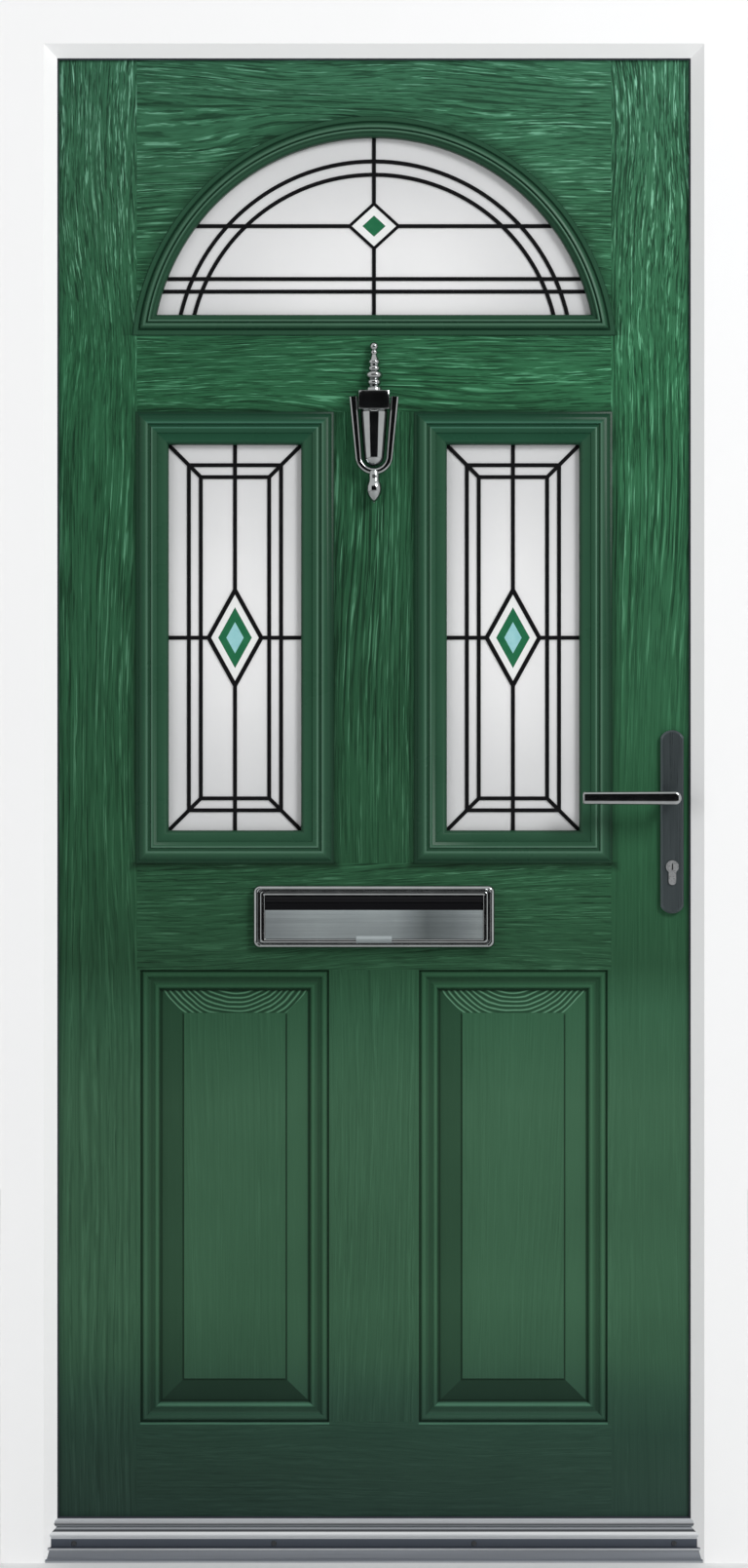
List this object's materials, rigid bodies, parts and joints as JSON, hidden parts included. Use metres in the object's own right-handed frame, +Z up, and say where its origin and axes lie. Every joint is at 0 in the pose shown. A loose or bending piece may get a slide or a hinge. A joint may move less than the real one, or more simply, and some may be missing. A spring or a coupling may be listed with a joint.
{
  "type": "panelled front door",
  "caption": "Panelled entrance door with leaded arched and tall lights, hinged in a bevelled frame with threshold, lever handle, lock, letterplate and knocker.",
  "frame": {"origin": "on the floor under the middle of the threshold, at half the depth of the frame", "axes": "+Z up, +X to the right seen from outside, -Y towards the outside"},
  "size_m": [1, 0.16, 2.09],
  "materials": {
    "frame_white": "smooth white plastic",
    "leaf_green": "green woodgrain moulding",
    "frosted_glass": "frosted",
    "timber": "laminated timber",
    "lead": "dull black lead",
    "bright_chrome": "polished",
    "satin_steel": "brushed",
    "grey_steel": "dark brushed",
    "nickel": "satin nickel",
    "threshold_metal": "mill finish",
    "black_rubber": "matt",
    "screw_steel": "dull",
    "foam": "rigid foam",
    "spacer": "mill finish",
    "sleeve": "black moulding",
    "green_glass": "stained glass",
    "white_glass": "opal glass",
    "aqua_glass": "stained glass"
  },
  "bodies": {
    "frame": {"hinge_jamb": "frame_white", "lock_jamb": "frame_white", "head_rail": "frame_white", "threshold": "threshold_metal", "frame_seal": "black_rubber", "threshold_screws": "screw_steel", "hinge_frame_flags": "frame_white", "hinge_pins": "frame_white", "lock_keeps": "satin_steel"},
    "leaf": {"outer_skin": "leaf_green", "inner_skin": "leaf_green", "foam_core": "foam", "hinge_stile": "timber", "lock_stile": "timber", "top_rail": "timber", "bottom_rail": "timber", "hinge_leaf_flags": "frame_white", "arch_cassette_outer": "leaf_green", "arch_cassette_inner": "leaf_green", "left_cassette_outer": "leaf_green", "left_cassette_inner": "leaf_green", "right_cassette_outer": "leaf_green", "right_cassette_inner": "leaf_green", "arch_outer_pane": "frosted_glass", "arch_inner_pane": "frosted_glass", "left_outer_pane": "frosted_glass", "left_inner_pane": "frosted_glass", "right_outer_pane": "frosted_glass", "right_inner_pane": "frosted_glass", "glass_spacers": "spacer", "arch_came": "lead", "side_cames": "lead", "green_lozenges": "green_glass", "white_lozenges": "white_glass", "aqua_lozenges": "aqua_glass", "outer_backplate": "grey_steel", "inner_backplate": "grey_steel", "through_bolts": "satin_steel", "lock_faceplate": "satin_steel", "lock_case": "satin_steel", "hook_cases": "satin_steel", "cylinder_body": "nickel", "letterplate_outer_frame": "bright_chrome", "letterplate_sleeve": "sleeve", "letterplate_inner_frame": "bright_chrome", "knocker_plate": "bright_chrome"},
    "lever": {"outer_lever": "bright_chrome", "inner_lever": "bright_chrome", "spindle": "satin_steel"},
    "latch": {"latch_bolt": "satin_steel"},
    "key_plug": {"cylinder_plug": "nickel", "thumbturn": "nickel"},
    "deadbolt": {"deadbolt": "satin_steel"},
    "hook_upper": {"hook_upper": "satin_steel"},
    "hook_lower": {"hook_lower": "satin_steel"},
    "drive_rail": {"drive_rail": "satin_steel"},
    "outer_flap": {"outer_flap": "satin_steel"},
    "inner_flap": {"inner_flap": "satin_steel"},
    "knocker": {"knocker_ring": "bright_chrome"}
  },
  "joints": [
    {"name": "door_swing", "type": "hinge", "parent": "frame", "child": "leaf", "pos_m": [-0.437, 0.044, 0], "axis": [0, 0, 1], "range_deg": [0, 110]},
    {"name": "lever_turn", "type": "hinge", "parent": "leaf", "child": "lever", "pos_m": [0.4, 0.009, 1.023], "axis": [0, -1, 0], "range_deg": [0, 40], "stiffness_Nm_per_rad": 1.5, "springref_deg": -34.38},
    {"name": "latch_slide", "type": "slide", "parent": "leaf", "child": "latch", "axis": [-1, 0, 0], "range_m": [0, 0.012]},
    {"name": "cylinder_turn", "type": "hinge", "parent": "leaf", "child": "key_plug", "pos_m": [0.4, 0.009, 0.931], "axis": [0, 1, 0], "range_deg": [0, 375]},
    {"name": "deadbolt_slide", "type": "slide", "parent": "leaf", "child": "deadbolt", "axis": [1, 0, 0], "range_m": [0, 0.018]},
    {"name": "hook_upper_turn", "type": "hinge", "parent": "leaf", "child": "hook_upper", "pos_m": [0.423, 0.009, 1.583], "axis": [0, 1, 0], "range_deg": [0, 85]},
    {"name": "hook_lower_turn", "type": "hinge", "parent": "leaf", "child": "hook_lower", "pos_m": [0.423, 0.009, 0.371], "axis": [0, 1, 0], "range_deg": [0, 85]},
    {"name": "drive_rail_slide", "type": "slide", "parent": "leaf", "child": "drive_rail", "axis": [0, 0, 1], "range_m": [0, 0.016]},
    {"name": "outer_flap_lift", "type": "hinge", "parent": "leaf", "child": "outer_flap", "pos_m": [0, -0.021, 0.887], "axis": [-1, 0, 0], "range_deg": [0, 85], "stiffness_Nm_per_rad": 0.1, "springref_deg": -22.92},
    {"name": "inner_flap_lift", "type": "hinge", "parent": "leaf", "child": "inner_flap", "pos_m": [0, 0.039, 0.887], "axis": [1, 0, 0], "range_deg": [0, 85], "stiffness_Nm_per_rad": 0.1, "springref_deg": -22.92},
    {"name": "knocker_lift", "type": "hinge", "parent": "leaf", "child": "knocker", "pos_m": [0, -0.03, 1.555], "axis": [-1, 0, 0], "range_deg": [0, 95]}
  ],
  "couplings": [
    {"joint": "latch_slide", "follows": "lever_turn", "m_per_rad": 0.017174},
    {"joint": "cylinder_turn", "follows": "drive_rail_slide", "rad_per_m": 392.6},
    {"joint": "deadbolt_slide", "follows": "drive_rail_slide", "ratio": 1.1},
    {"joint": "hook_upper_turn", "follows": "drive_rail_slide", "rad_per_m": 90},
    {"joint": "hook_lower_turn", "follows": "drive_rail_slide", "rad_per_m": 90}
  ]
}
